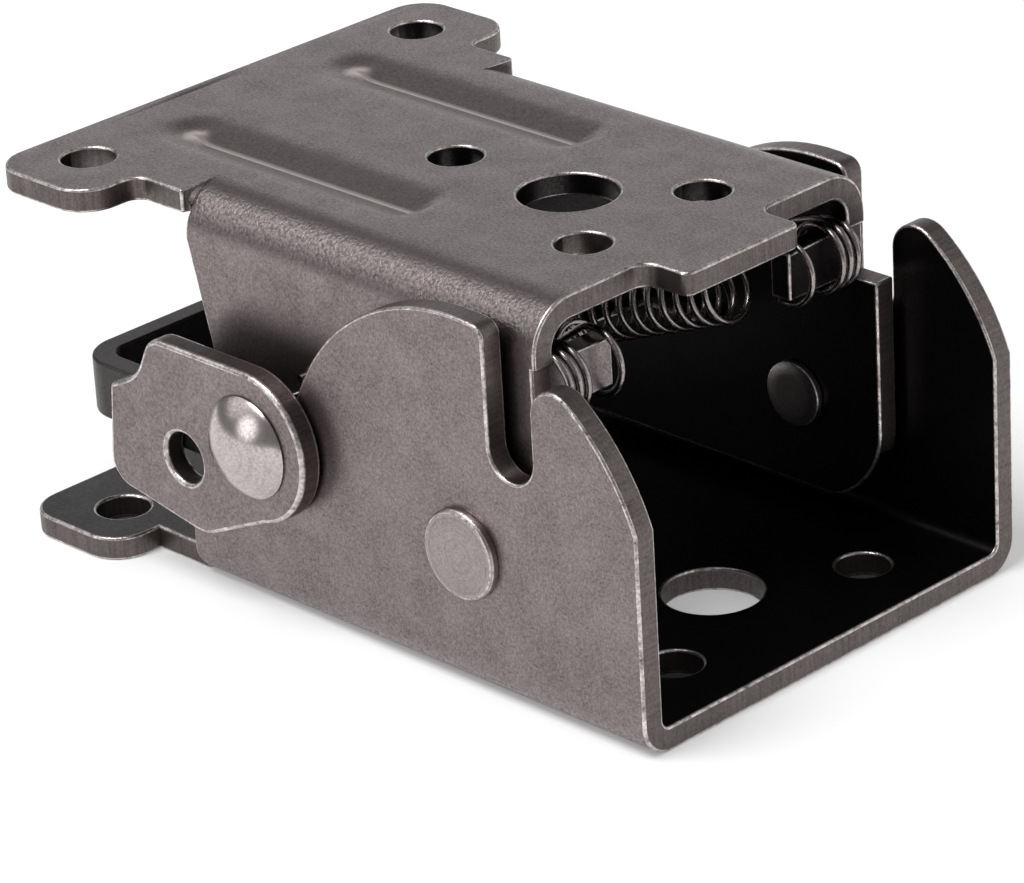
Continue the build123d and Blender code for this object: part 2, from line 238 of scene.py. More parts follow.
@dataclass(frozen=True)
class SteelFinish:
    """Bare steel with its grain, mottling and tool marks, sized in millimetres.

    Its grain is drawn coarser than the real one, which would be too fine to show.
    """

    name: str
    colour: str
    dark: str
    roughness: float
    roughness_spread: float = 0.08
    mottle_size: float = 4.0
    grain_size: float = 0.26
    grain_depth: float = 0.016
    grain_share: float = 0.7
    peel_size: float = 0.5
    peel_depth: float = 0.0
    painted_highlight: str = ""
    marks: Marks = Marks.NONE
    mark_size: float = 0.35
    mark_depth: float = 0.01
    mark_strength: float = 0.5
    mark_height: float = 0.7
    bend_range: tuple[float, float] = (0.12, 0.42)
    tone_range: tuple[float, float] = (0.32, 0.68)
    sheen_range: tuple[float, float] = (0.3, 0.7)
    centre: tuple[float, float, float] = (0.0, 0.0, 0.0)

    def mark_pattern(self, tree: bpy.types.NodeTree, place: Socket) -> Socket:
        """Draw the tool marks as noise that is drawn out along them.

        Args:
            tree: The material's nodes.
            place: Object coordinates in millimetres.

        Returns:
            The socket that carries the marks, from 0 to 1.
        """
        if self.marks is Marks.TURNED:
            offset = calculate_vector(tree, "SUBTRACT", place, self.centre)
            flat = calculate_vector(tree, "MULTIPLY", offset, (1, 0, 1))
            radius = calculate_vector(tree, "LENGTH", flat)
            scaled = calculate(tree, "MULTIPLY", radius, 1 / self.mark_size)
            feeds = {"W": scaled, "Scale": 1.0, "Detail": 2.0}
            return add_node(tree, "ShaderNodeTexNoise", {"noise_dimensions": "1D"}, feeds).outputs["Fac"]
        stretch = {Marks.ACROSS_CHEEK: (1.0, 0.05, 1.0), Marks.ACROSS_PLATE: (1.0, 1.0, 0.05)}
        drawn = calculate_vector(tree, "MULTIPLY", place, stretch[self.marks])
        return noise(tree, drawn, self.mark_size, detail=3.0, roughness=0.6)

    def peeled(
        self,
        tree: bpy.types.NodeTree,
        coordinates: bpy.types.Node,
        place: Socket,
        height: Socket,
        depth: float,
        speckle: Socket,
    ) -> tuple[Socket, Socket, Socket]:
        """Coarsen the grain on bends, where the stretched sheet shows an orange peel.

        A bend is known by its slanting normal: the product of its Y and Z parts is far from zero there.

        Args:
            tree: The material's nodes.
            coordinates: The texture coordinate node.
            place: Object coordinates in millimetres.
            height: The grain's height.
            depth: The grain's depth in metres.
            speckle: The pattern that sets colour and sheen.

        Returns:
            Height, depth and pattern with the peel in them.
        """
        normal = add_node(tree, "ShaderNodeSeparateXYZ", feeds={0: coordinates.outputs["Normal"]})
        product = calculate(tree, "MULTIPLY", normal.outputs["Y"], normal.outputs["Z"])
        bent = remap(tree, calculate(tree, "ABSOLUTE", product), self.bend_range)
        peel = noise(tree, place, self.peel_size, detail=2.0, roughness=0.55)
        return (
            mix(tree, Blend.NUMBERS, bent, height, peel),
            mix(tree, Blend.NUMBERS, bent, depth, self.peel_depth * MM),
            mix(tree, Blend.NUMBERS, bent, speckle, peel),
        )

    def material(self) -> bpy.types.Material:
        """Build the material once, and give it again when asked again."""
        if self.name in bpy.data.materials:
            return bpy.data.materials[self.name]
        made = bpy.data.materials.new(self.name)
        made.use_nodes = True
        tree = made.node_tree
        shader = tree.nodes["Principled BSDF"]
        shader.inputs["Metallic"].default_value = 1.0
        coordinates = add_node(tree, "ShaderNodeTexCoord")
        place = millimetres(tree, coordinates)
        mottle = noise(tree, place, self.mottle_size, detail=6.0, roughness=0.62)
        grain = noise(tree, place, self.grain_size, detail=2.0, roughness=0.7)
        speckle = mix(tree, Blend.NUMBERS, self.grain_share, mottle, grain)
        height = grain
        depth = self.grain_depth * MM
        if self.marks is not Marks.NONE:
            lines = self.mark_pattern(tree, place)
            speckle = mix(tree, Blend.NUMBERS, self.mark_strength, speckle, lines)
            height = mix(tree, Blend.NUMBERS, self.mark_height, grain, lines)
            depth = self.mark_depth * MM
        if self.peel_depth:
            height, depth, speckle = self.peeled(tree, coordinates, place, height, depth, speckle)
        tone = remap(tree, speckle, self.tone_range)
        colour = mix(tree, Blend.COLOURS, tone, linear(self.dark), linear(self.colour))
        # Painted highlight: the colour turns bright where the mesh's share says so
        if self.painted_highlight:
            highlight_share = add_node(tree, "ShaderNodeAttribute", {"attribute_name": "painted_highlight_share"}).outputs["Fac"]
            colour = mix(tree, Blend.COLOURS, highlight_share, colour, linear(self.painted_highlight))
        tree.links.new(colour, shader.inputs["Base Color"])
        dull = self.roughness + self.roughness_spread
        bright = self.roughness - self.roughness_spread
        tree.links.new(remap(tree, speckle, self.sheen_range, (dull, bright)), shader.inputs["Roughness"])
        bump = add_node(tree, "ShaderNodeBump", feeds={"Height": height, "Distance": depth, "Strength": 1.0})
        tree.links.new(bump.outputs[0], shader.inputs["Normal"])
        return made


# Pressed steel sheet is left as rolled and tumbled: a warm matt grey with a fine grain
SHEET_FACE = SteelFinish("pressed_steel_face", "#968b8b", "#605858", 0.36, peel_size=0.36, peel_depth=0.06)
# The top plate is of the same sheet; the floor of each groove and its knob get a bright colour, a painted
# highlight
GROOVED_FACE = replace(SHEET_FACE, name="punched_steel_face", painted_highlight="#cbc2bf")
# Sheared edges are torn across the sheet: duller, with streaks from one face to the other
CHEEK_EDGE = SteelFinish(
    "sheared_cheek_edge",
    "#7a716e",
    "#4b4646",
    0.42,
    marks=Marks.ACROSS_CHEEK,
    mark_size=0.4,
    mark_depth=0.02,
    mark_strength=0.35,
)
PLATE_EDGE = replace(CHEEK_EDGE, name="sheared_plate_edge", marks=Marks.ACROSS_PLATE)
# Faces that look inwards get a dark colour: painted shade
SHADE_PAINTED_INSIDE = SteelFinish("shade_painted_inner_steel", "#403d3d", "#262323", 0.34)
# Arrises are rubbed bright by tumbling and handling, here more and there less; their near-white colour is
# partly wear and partly a painted highlight
WORN_AND_HIGHLIT_ARRIS = SteelFinish(
    "worn_and_highlit_arris",
    "#efe7e4",
    "#544d4c",
    0.32,
    mottle_size=1.6,
    grain_size=0.45,
    grain_depth=0.05,
    grain_share=0.5,
)
# Rivet heads are pressed flat and show faint rings
RIVET_FACE = SteelFinish(
    "pressed_rivet_steel",
    "#aaa1a0",
    "#7a7171",
    0.34,
    marks=Marks.TURNED,
    mark_size=0.3,
    mark_depth=0.006,
    mark_strength=0.3,
    centre=(-6.7, 0.0, 14.6),
)
# The pin's domed heads are burnished by hands
PIN_DOME = SteelFinish(
    "burnished_pin_steel",
    "#cfc6c5",
    "#968e8d",
    0.22,
    marks=Marks.TURNED,
    mark_size=0.5,
    mark_depth=0.004,
    mark_strength=0.2,
    centre=(-33.488, 0.0, 18.699),
)
# Spring wire is drawn hard and smooth, with a film of oil
SPRING_WIRE = SteelFinish("drawn_spring_wire", "#aea7a5", "#7a7371", 0.24, mottle_size=1.5, grain_depth=0.003)
# The handle is a nearly black strip with a satin face
DARK_STRIP = SteelFinish("dark_steel_strip", "#4e4a4a", "#383535", 0.4)

Sorter = Callable[[np.ndarray, np.ndarray], np.ndarray]
Shaper = Callable[[bmesh.types.BMesh], None]


def round_edges(
    model: bmesh.types.BMesh, chosen: list[bmesh.types.BMEdge], width: float, steps: int, slot: int
) -> None:
    """Round some edges of a mesh.

    Args:
        model: The mesh.
        chosen: Its edges to round.
        width: How far the rounding reaches from an edge, in millimetres.
        steps: Facets across the rounding.
        slot: The finish that it takes, or -1 to keep its neighbours' finish.
    """
    bmesh.ops.bevel(
        model,
        geom=chosen,
        offset=width * MM,
        offset_type="OFFSET",
        segments=steps,
        profile=0.5,
        affect="EDGES",
        clamp_overlap=False,
        material=slot,
        loop_slide=True,
    )


def dressed_copy(
    node: str,
    name: str,
    finishes: list[SteelFinish],
    sort: Sorter,
    arris: float,
    before: Shaper | None = None,
    after: Shaper | None = None,
) -> bpy.types.Object:
    """Copy a CAD node, give its faces their finishes, and round its sharp outer edges.

    Args:
        node: The CAD node.
        name: The new piece's name.
        finishes: The finishes of its faces; the last one goes on the rounded edges.
        sort: Gives each face its place in that list from its centre, in millimetres, and its normal.
        arris: Width of the rounded edges in millimetres.
        before: Shapes the mesh before its edges are rounded.
        after: Shapes it afterwards.

    Returns:
        The new piece, standing for the node.
    """
    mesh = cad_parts[node].data.copy()
    mesh.name = name
    mesh.materials.clear()
    for finish in finishes:
        mesh.materials.append(finish.material())
    model = bmesh.new()
    model.from_mesh(mesh)
    bmesh.ops.remove_doubles(model, verts=model.verts, dist=MERGE_DISTANCE * MM)
    model.to_mesh(mesh)
    count = len(mesh.polygons)
    centres = np.empty(count * 3)
    normals = np.empty(count * 3)
    mesh.polygons.foreach_get("center", centres)
    mesh.polygons.foreach_get("normal", normals)
    places = sort(centres.reshape(-1, 3) / MM, normals.reshape(-1, 3))
    mesh.polygons.foreach_set("material_index", places.astype(np.int32))
    model.clear()
    model.from_mesh(mesh)
    bmesh.ops.dissolve_limit(
        model, angle_limit=FLAT_ANGLE, verts=model.verts, edges=model.edges, delimit={"MATERIAL"}
    )
    if before:
        before(model)
        model.normal_update()
    sharp = [
        edge
        for edge in model.edges
        if len(edge.link_faces) == 2 and edge.calc_face_angle_signed(0.0) > ARRIS_ANGLE
    ]
    round_edges(model, sharp, arris, ARRIS_STEPS, len(finishes) - 1)
    if after:
        model.normal_update()
        after(model)
    model.to_mesh(mesh)
    model.free()
    mesh.shade_smooth()
    mesh.set_sharp_from_angle(angle=SHADING_ANGLE)
    piece = bpy.data.objects.new(name, mesh)
    bpy.context.scene.collection.objects.link(piece)
    shading = piece.modifiers.new("even_shading", "WEIGHTED_NORMAL")
    shading.keep_sharp = True
    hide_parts(node)
    return piece


def one_finish(centre: np.ndarray, normal: np.ndarray) -> np.ndarray:
    """Sort the faces of a piece that has its first finish all over.

    Args:
        centre: Centres of the faces in millimetres.
        normal: Their normals; not used.

    Returns:
        0 for each face.
    """
    return np.zeros(len(centre), int)


def tube(
    name: str, path: np.ndarray, sides_up: np.ndarray, radius: float, finish: SteelFinish
) -> bpy.types.Object:
    """Make a round wire along a path.

    The surface is P(s, a) = path(s) + radius * (cos a * N(s) + sin a * B(s)), where N is the given
    sideways direction made square to the path's tangent T, and B is T cross N. The ends are closed by caps.

    Args:
        name: The piece's name.
        path: Points of the centre line in millimetres, one row each.
        sides_up: A direction roughly square to the path at each point.
        radius: The wire's radius in millimetres.
        finish: The wire's finish.

    Returns:
        The new piece.
    """
    around = 12
    tangent = np.gradient(path, axis=0)
    tangent /= np.linalg.norm(tangent, axis=1, keepdims=True)
    normal = sides_up - (sides_up * tangent).sum(1, keepdims=True) * tangent
    normal /= np.linalg.norm(normal, axis=1, keepdims=True)
    side = np.cross(tangent, normal)
    angle = np.linspace(0, 2 * np.pi, around, endpoint=False)
    across = np.cos(angle)[None, :, None] * normal[:, None, :]
    ring = across + np.sin(angle)[None, :, None] * side[:, None, :]
    points = (path[:, None, :] + radius * ring).reshape(-1, 3) * MM
    rows = len(path)
    row, column = np.meshgrid(np.arange(rows - 1), np.arange(around), indexing="ij")
    following = (column + 1) % around
    here = row * around
    beyond = (row + 1) * around
    corners = [here + column, here + following, beyond + following, beyond + column]
    quads = np.stack(corners, axis=-1).reshape(-1, 4)
    caps = [list(range(around))[::-1], list(range((rows - 1) * around, rows * around))]
    mesh = bpy.data.meshes.new(name)
    mesh.from_pydata(points.tolist(), [], quads.tolist() + caps)
    mesh.materials.append(finish.material())
    mesh.shade_smooth()
    mesh.set_sharp_from_angle(angle=CAP_ANGLE)
    piece = bpy.data.objects.new(name, mesh)
    bpy.context.scene.collection.objects.link(piece)
    return piece


def settle(piece: bpy.types.Object, body: str) -> None:
    """Let a piece ride on a body, and report it."""
    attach(piece, body)
    LOG.info("%s rides on %s", piece.name, body)


@dataclass
class LowerBracket:
    """The base channel: plate, ears and two cheeks whose tops are cams."""

    plate_top: float = 2.6
    arris: float = 0.28
    up_part: float = 0.5

    def sort(self, centre: np.ndarray, normal: np.ndarray) -> np.ndarray:
        """Tell faces from sheared edges: an edge is square to the sheet that it cuts.

        Args:
            centre: Centres of the faces in millimetres.
            normal: Their normals.

        Returns:
            0 for a face, 1 for a cheek's edge, 2 for the plate's edge, 3 for a face that looks inwards or up
            from the plate, which gets painted shade.
        """
        plate = centre[:, 2] < self.plate_top
        upright = np.abs(normal[:, 2]) < SQUARE
        along = np.abs(normal[:, 1]) < SQUARE
        # Faces that look inwards and the plate's upward faces get painted shade
        shade_painted = (normal[:, 1] * np.sign(centre[:, 1]) < -SQUARE) | (plate & (normal[:, 2] > self.up_part))
        return np.select([plate & upright, ~plate & along, shade_painted], [2, 1, 3], 0)

    def build(self) -> None:
        """Make and place the piece."""
        finishes = [SHEET_FACE, CHEEK_EDGE, PLATE_EDGE, SHADE_PAINTED_INSIDE, WORN_AND_HIGHLIT_ARRIS]
        piece = dressed_copy("lower_bracket", "lower_bracket_steel", finishes, self.sort, self.arris)
        settle(piece, "base")


@dataclass
class UpperBracket:
    """The top channel: plate with ears, tongue and grooves, and two cheeks with spring tabs."""

    plate_top: float = 40.0
    plate_underside: float = 37.4
    groove_floor: float = 38.0
    slopes_from: float = 36.0
    slope_part: float = 0.2
    down_part: float = 0.3
    arris: float = 0.28
    tab_space: tuple[float, float, float] = (20.1, 26.5, 36.0)
    toe_space: tuple[float, float] = (-8.0, 14.0)
    toe_edge: float = 1.0
    toe_angle: float = 10.0
    toe_round: float = 1.9
    toe_steps: int = 5
    groove_y: float = 11.2
    groove_ends: tuple[float, float] = (-58.4, -27.2)
    groove_half_width: float = 3.6
    groove_depth: float = 1.25
    shoulder_sharpness: float = 7.0
    front_steepness: float = 1.7
    trace: float = 0.002
    level_part: float = 0.99
    open_part: float = 0.1
    top_slack: float = 0.05
    window: tuple[float, float, float, float] = (-66.8, -22.2, 4.6, 17.4)
    window_steps: tuple[int, int] = (150, 96)
    line_half_width: float = 0.36
    knob_r: float = 1.3
    knob_height: float = 0.55

    def sort(self, centre: np.ndarray, normal: np.ndarray) -> np.ndarray:
        """Tell faces from sheared edges, leaving the grooves' slopes as faces.

        Args:
            centre: Centres of the faces in millimetres.
            normal: Their normals.

        Returns:
            0 for a face and the near tab, which is left out of the painted shade, 1 for a cheek's edge, 2 for
            the plate's edge, 3 for the far tab and a face that looks inwards or down, which get painted
            shade.
        """
        plate = centre[:, 2] > self.plate_underside
        upright = np.abs(normal[:, 2]) < SQUARE
        along = np.abs(normal[:, 1]) < SQUARE
        reach, low, high = self.tab_space
        tab = (np.abs(centre[:, 1]) < reach) & (centre[:, 2] > low) & (centre[:, 2] < high)
        slope = (centre[:, 2] > self.slopes_from) & (np.abs(normal[:, 2]) > self.slope_part)
        # Faces that look inwards or down, and the tabs, get painted shade; the near tab keeps the plain face
        # colour
        shade_painted = (normal[:, 1] * np.sign(centre[:, 1]) < -SQUARE) | (normal[:, 2] < -self.down_part)
        near_tab = tab & (centre[:, 1] <= 0)
        return np.select([near_tab, tab | shade_painted, plate & upright, ~plate & along & ~slope], [0, 3, 2, 1], 0)

    def round_toes(self, model: bmesh.types.BMesh) -> None:
        """Blend the facets of each cheek's toe into one curve.

        Args:
            model: The mesh.
        """
        rear, top = self.toe_space
        toe = []
        for edge in model.edges:
            start, end = (vertex.co / MM for vertex in edge.verts)
            square = math.hypot(start.x - end.x, start.z - end.z) < SAME_PLACE
            across = square and abs(start.y - end.y) > self.toe_edge
            if across and start.x > rear and start.z < top and len(edge.link_faces) == 2:
                if edge.calc_face_angle_signed(0.0) > math.radians(self.toe_angle):
                    toe.append(edge)
        round_edges(model, toe, self.toe_round, self.toe_steps, -1)

    def groove_drop(self, x: np.ndarray, y: np.ndarray) -> np.ndarray:
        """Give the depth of the pressed face at a point.

        With s the distance from the groove's centre line over its half width, the depth is
        depth * ln(1 + exp(k (1 - s))) / k, a V whose shoulders are soft. Past the front end the
        distance counts more, which makes that end steep. At the rear end the punch leaves a knob,
        height * exp(-(r / R)^2) with r the distance from that end.

        Args:
            x: Places along the groove in millimetres.
            y: Places across it, with the centre line at 0.

        Returns:
            How far the face lies below the plate.
        """
        rear, front = self.groove_ends
        past = np.where(x > front, (x - front) * self.front_steepness, np.minimum(x - rear, 0))
        share = np.hypot(past, y) / self.groove_half_width
        soft = np.log1p(np.exp(self.shoulder_sharpness * (1 - share))) / self.shoulder_sharpness
        knob = self.knob_height * np.exp(-((np.hypot(x - rear, y) / self.knob_r) ** 2))
        pressed = self.groove_depth * np.maximum(soft - self.trace, 0)
        return pressed - np.where(knob > self.trace, knob, 0)

    def groove_highlight(self, x: np.ndarray, y: np.ndarray) -> np.ndarray:
        """Give how much painted highlight the groove's floor and knob get at a point, from 0 to 1.

        It is exp(-(d / w)^4), with d the distance from the centre line or from the knob's middle.

        Args:
            x: Places along the groove in millimetres.
            y: Places across it, with the centre line at 0.

        Returns:
            The larger of the two.
        """
        rear, front = self.groove_ends
        off_line = np.hypot(x - np.clip(x, rear, front), y)
        off_knob = np.hypot(x - rear, y)
        return np.exp(-np.minimum(off_line / self.line_half_width, off_knob / self.knob_r) ** 4)

    def cut_window(self, model: bmesh.types.BMesh, window: tuple[float, float, float, float]) -> None:
        """Cut a window out of the plate's top face, with the groove in it.

        Args:
            model: The mesh.
            window: Its rear, front, low and high limits in millimetres.
        """
        rear, front, low, high = window
        cuts = [((rear, 0), (1, 0)), ((front, 0), (1, 0)), ((0, low), (0, 1)), ((0, high), (0, 1))]
        for (at_x, at_y), (along_x, along_y) in cuts:
            top = [
                face
                for face in model.faces
                if face.normal.z > self.level_part
                and face.calc_center_median().z > (self.plate_top - self.top_slack) * MM
            ]
            edges = {edge for face in top for edge in face.edges}
            corners = {corner for face in top for corner in face.verts}
            bmesh.ops.bisect_plane(
                model,
                geom=[*top, *edges, *corners],
                plane_co=(at_x * MM, at_y * MM, self.plate_top * MM),
                plane_no=(along_x, along_y, 0),
            )
        model.normal_update()
        gone = []
        for face in model.faces:
            middle = face.calc_center_median() / MM
            inside = rear < middle.x < front and low < middle.y < high
            if inside and middle.z > self.groove_floor and face.normal.z > self.open_part:
                gone.append(face)
        bmesh.ops.delete(model, geom=gone, context="FACES")

    def lay_groove(
        self, model: bmesh.types.BMesh, window: tuple[float, float, float, float], centre: float
    ) -> None:
        """Lay the pressed face into a window, as a grid with the points (x, y, top - drop(x, y - centre)).

        Args:
            model: The mesh.
            window: Its rear, front, low and high limits in millimetres.
            centre: Where the groove's centre line lies across the plate.
        """
        rear, front, low, high = window
        columns, rows = self.window_steps
        along = np.linspace(rear, front, columns + 1)
        across = np.linspace(low, high, rows + 1)
        x, y = np.meshgrid(along, across, indexing="ij")
        z = self.plate_top - self.groove_drop(x, y - centre)
        points = np.stack([x, y, z], axis=-1).reshape(-1, 3) * MM
        corner = np.arange(columns)[:, None] * (rows + 1) + np.arange(rows)
        corners = [corner, corner + rows + 1, corner + rows + 2, corner + 1]
        patch = bpy.data.meshes.new("groove")
        patch.from_pydata(points.tolist(), [], np.stack(corners, axis=-1).reshape(-1, 4).tolist())
        patch.shade_smooth()
        # Each grid point carries its share of the painted highlight
        highlight_attribute = patch.attributes.new("painted_highlight_share", "FLOAT", "POINT")
        highlight_attribute.data.foreach_set("value", self.groove_highlight(x, y - centre).ravel())
        model.from_mesh(patch)
        bpy.data.meshes.remove(patch)

    def press_grooves(self, model: bmesh.types.BMesh) -> None:
        """Put the soft pressed face in the place of a window round each groove.

        Args:
            model: The mesh.
        """
        rear, front, inner, outer = self.window
        for side in (-1, 1):
            low, high = sorted((side * inner, side * outer))
            window = (rear, front, low, high)
            self.cut_window(model, window)
            self.lay_groove(model, window, side * self.groove_y)

    def build(self) -> None:
        """Make and place the piece."""
        piece = dressed_copy(
            "upper_bracket",
            "upper_bracket_steel",
            [GROOVED_FACE, CHEEK_EDGE, PLATE_EDGE, SHADE_PAINTED_INSIDE, WORN_AND_HIGHLIT_ARRIS],
            self.sort,
            self.arris,
            before=self.round_toes,
            after=self.press_grooves,
        )
        settle(piece, "upper")


@dataclass
class Pivot:
    """The two rivets that the top channel turns on, with a washer under each."""

    arris: float = 0.12
    tail_reach: float = 20.2
    tail_share: float = 0.62
    tail_round: float = 0.45
    tail_steps: int = 4
    rim_angle: float = 12.0
    axis: tuple[float, float] = (-6.7, 14.6)

    def round_tail(self, model: bmesh.types.BMesh) -> None:
        """Narrow the formed tail to its end and round it, as the rivet set leaves it.

        Args:
            model: The mesh.
        """
        tail = [corner for corner in model.verts if abs(corner.co.y) < self.tail_reach * MM]
        end = min(abs(corner.co.y) for corner in tail)
        tip = {corner for corner in tail if abs(corner.co.y) < end + SAME_PLACE * MM}
        x, z = (value * MM for value in self.axis)
        for corner in tip:
            corner.co.x = x + (corner.co.x - x) * self.tail_share
            corner.co.z = z + (corner.co.z - z) * self.tail_share
        model.normal_update()
        least = math.radians(self.rim_angle)
        rim = [
            edge
            for edge in model.edges
            if set(edge.verts) <= tip
            and len(edge.link_faces) == 2
            and edge.calc_face_angle_signed(0.0) > least
        ]
        round_edges(model, rim, self.tail_round, self.tail_steps, -1)

    def build(self) -> None:
        """Make and place the four pieces."""
        for side in ("near", "far"):
            for kind, shaper in (("pivot_rivet", self.round_tail), ("pivot_washer", None)):
                node = f"{kind}_{side}"
                finishes = [RIVET_FACE, WORN_AND_HIGHLIT_ARRIS]
                piece = dressed_copy(node, f"{node}_steel", finishes, one_finish, self.arris, before=shaper)
                settle(piece, "base")


@dataclass
class LockLever:
    """The lock pin, the lever plates at its ends and the handle that joins them."""

    arris: float = 0.45
    pin_rim: float = 0.5
    handle_arris: float = 0.3

    def sort_lever(self, centre: np.ndarray, normal: np.ndarray) -> np.ndarray:
        """Tell a lever plate's faces from its sheared edge.

        Args:
            centre: Centres of the faces in millimetres; not used.
            normal: Their normals.

        Returns:
            0 for a face, 1 for the edge.
        """
        return (np.abs(normal[:, 1]) < SQUARE).astype(int)

    def build(self) -> None:
        """Make and place the four pieces."""
        pin = dressed_copy("lock_pin", "lock_pin_steel", [PIN_DOME, PIN_DOME], one_finish, self.pin_rim)
        settle(pin, "lever")
        for side in ("near", "far"):
            node = f"lever_plate_{side}"
            finishes = [SHEET_FACE, CHEEK_EDGE, WORN_AND_HIGHLIT_ARRIS]
            lever = dressed_copy(node, f"{node}_steel", finishes, self.sort_lever, self.arris)
            settle(lever, "lever")
        strips = [DARK_STRIP, DARK_STRIP]
        handle = dressed_copy("release_handle", "release_handle_steel", strips, one_finish, self.handle_arris)
        settle(handle, "lever")


@dataclass
class Springs:
    """The return springs from tab to pin, and the springs wound on the tabs."""

    return_wire: float = 0.35
    tab_wire: float = 0.4
    coil: float = 3.35
    tab: tuple[float, float] = (-1.05, 31.3)
    pin: tuple[float, float] = (-33.488, 18.699)
    coil_y: float = 10.6
    hook_y: float = 13.2
    turns: int = 12
    pitch: float = 2.1
    hook_wrap: float = 235.0
    tab_coil_y: float = 17.1
    tab_pitch: float = 1.1
    tab_full_turns: int = 2
    leg_end: tuple[float, float] = (-30.2125, 25.2166)
    leg_tip_y: float = 24.4
    leg_bend: float = 1.0
    short_leg_top: float = 36.6
    steps: int = 30
    join_points: int = 8
    short_leg_points: int = 6
    long_leg_points: int = 12
    bend_points: int = 8
    tip_points: int = 4
    short_leg_gap: float = 0.3

    def return_path(self) -> tuple[np.ndarray, np.ndarray]:
        """Lay out a return spring seen along its pull from tab to pin.

        A point at distance d, rise h and width y is tab + d * pull + h * square + y. The body is
        (start + pitch * t, coil * cos, coil * sin), and each hook is a circle about tab or pin.

        Returns:
            The centre line and the sideways directions.
        """
        tab, pin = np.array(self.tab), np.array(self.pin)
        length = float(np.linalg.norm(pin - tab))
        pull = (pin - tab) / length
        start = (length - self.turns * self.pitch) / 2
        rise = math.sqrt(self.coil**2 - (self.hook_y - self.coil_y) ** 2)
        first = math.atan2(rise, start) + math.acos(self.coil / math.hypot(rise, start))

        def place(distance: np.ndarray, height: np.ndarray, width: np.ndarray) -> np.ndarray:
            """Put points given by distance, rise and width into the frame."""
            return np.stack(
                [
                    tab[0] + pull[0] * distance + pull[1] * height,
                    width,
                    tab[1] + pull[1] * distance - pull[0] * height,
                ],
                axis=-1,
            )

        bend = first + np.radians(np.linspace(0, self.hook_wrap, self.steps))
        hook_width = np.full(self.steps, self.hook_y)
        front = place(self.coil * np.cos(bend), self.coil * np.sin(bend), hook_width)[::-1]
        rear = place(length - self.coil * np.cos(bend), self.coil * np.sin(bend), hook_width)
        turn = np.linspace(0, 2 * np.pi * self.turns, self.turns * self.steps + 1)
        lead = math.atan2(self.hook_y - self.coil_y, rise)
        width = self.coil_y + self.coil * np.sin(lead - turn)
        height = self.coil * np.cos(lead - turn)
        body = place(start + self.pitch * turn / (2 * np.pi), height, width)
        step = np.linspace(0, 1, self.join_points)[1:-1, None]
        into = front[-1] + (body[0] - front[-1]) * step
        out = body[-1] + (rear[0] - body[-1]) * step
        axis = place(start + self.pitch * turn / (2 * np.pi), 0 * turn, 0 * turn + self.coil_y)
        radial = (body - axis) / self.coil
        across = np.array([0.0, 1.0, 0.0])
        sides = np.concatenate(
            [
                np.tile(across, (len(front), 1)),
                across + (radial[0] - across) * step,
                radial,
                radial[-1] + (across - radial[-1]) * step,
                np.tile(across, (len(rear), 1)),
            ]
        )
        return np.concatenate([front, into, body, out, rear]), sides

    def tab_path(self) -> tuple[np.ndarray, np.ndarray]:
        """Lay out a tab spring: short leg, coil about the tab, long leg and its bent tip.

        The coil is (tab + r * (cos, sin), y0 + pitch * t), and the legs leave it along its tangents.

        Returns:
            The centre line and the sideways directions.
        """
        tab, end = np.array(self.tab), np.array(self.leg_end)
        run = end - tab
        leaves = math.atan2(run[1], run[0]) - math.acos(self.coil / float(np.linalg.norm(run)))
        turns = self.tab_full_turns + ((leaves - math.pi) / (2 * math.pi)) % 1
        turn = np.linspace(0, 2 * np.pi * turns, round(turns * self.steps))
        angle = np.pi + turn
        width = self.tab_coil_y + self.tab_pitch * turn / (2 * np.pi)
        rise = tab[1] + self.coil * np.sin(angle)
        coil = np.stack([tab[0] + self.coil * np.cos(angle), width, rise], axis=-1)
        radial = np.stack([np.cos(angle), 0 * angle, np.sin(angle)], axis=-1)
        up = np.linspace(self.short_leg_top, tab[1] + self.short_leg_gap, self.short_leg_points)
        short = np.stack([0 * up + tab[0] - self.coil, 0 * up + self.tab_coil_y, up], axis=-1)
        corner = np.array([end[0], width[-1], end[1]])
        leg = corner - coil[-1]
        leg_length = float(np.linalg.norm(leg))
        leg /= leg_length
        reach = np.linspace(0, leg_length - self.leg_bend, self.long_leg_points)[1:]
        long = coil[-1] + leg * reach[:, None]
        swing = np.linspace(0, np.pi / 2, self.bend_points)[1:, None]
        outward = np.array([0.0, 1.0, 0.0])
        bend = long[-1] + self.leg_bend * (leg * np.sin(swing) + outward * (1 - np.cos(swing)))
        tip_length = self.leg_tip_y - bend[-1][1]
        tip = bend[-1] + outward * np.linspace(0, tip_length, self.tip_points)[1:, None]
        sides = np.concatenate(
            [
                np.tile(radial[0], (len(short), 1)),
                radial,
                np.tile(radial[-1], (len(long) + len(bend) + len(tip), 1)),
            ]
        )
        return np.concatenate([short, coil, long, bend, tip]), sides

    def build(self) -> None:
        """Make and place the four springs, the near ones mirrored from the far."""
        for side, mirror in (("far", 1.0), ("near", -1.0)):
            flip = np.array([1.0, mirror, 1.0])
            path, sides = self.return_path()
            name = f"return_spring_{side}_wire"
            piece = tube(name, path * flip, sides * flip, self.return_wire, SPRING_WIRE)
            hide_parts(f"return_spring_{side}")
            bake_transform(piece)
            LOG.info("%s stretches between upper and lever", piece.name)
            path, sides = self.tab_path()
            name = f"tab_spring_{side}_wire"
            piece = tube(name, path * flip, sides * flip, self.tab_wire, SPRING_WIRE)
            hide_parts(f"tab_spring_{side}")
            settle(piece, "upper")


@dataclass(frozen=True)
class Glow:
    """A bright patch of the room that the steel mirrors.

    Its strength rises from nothing to full as the direction nears its middle, by the cosine between them.
    """

    toward: tuple[float, float, float]
    starts: float
    full: float
    strength: float


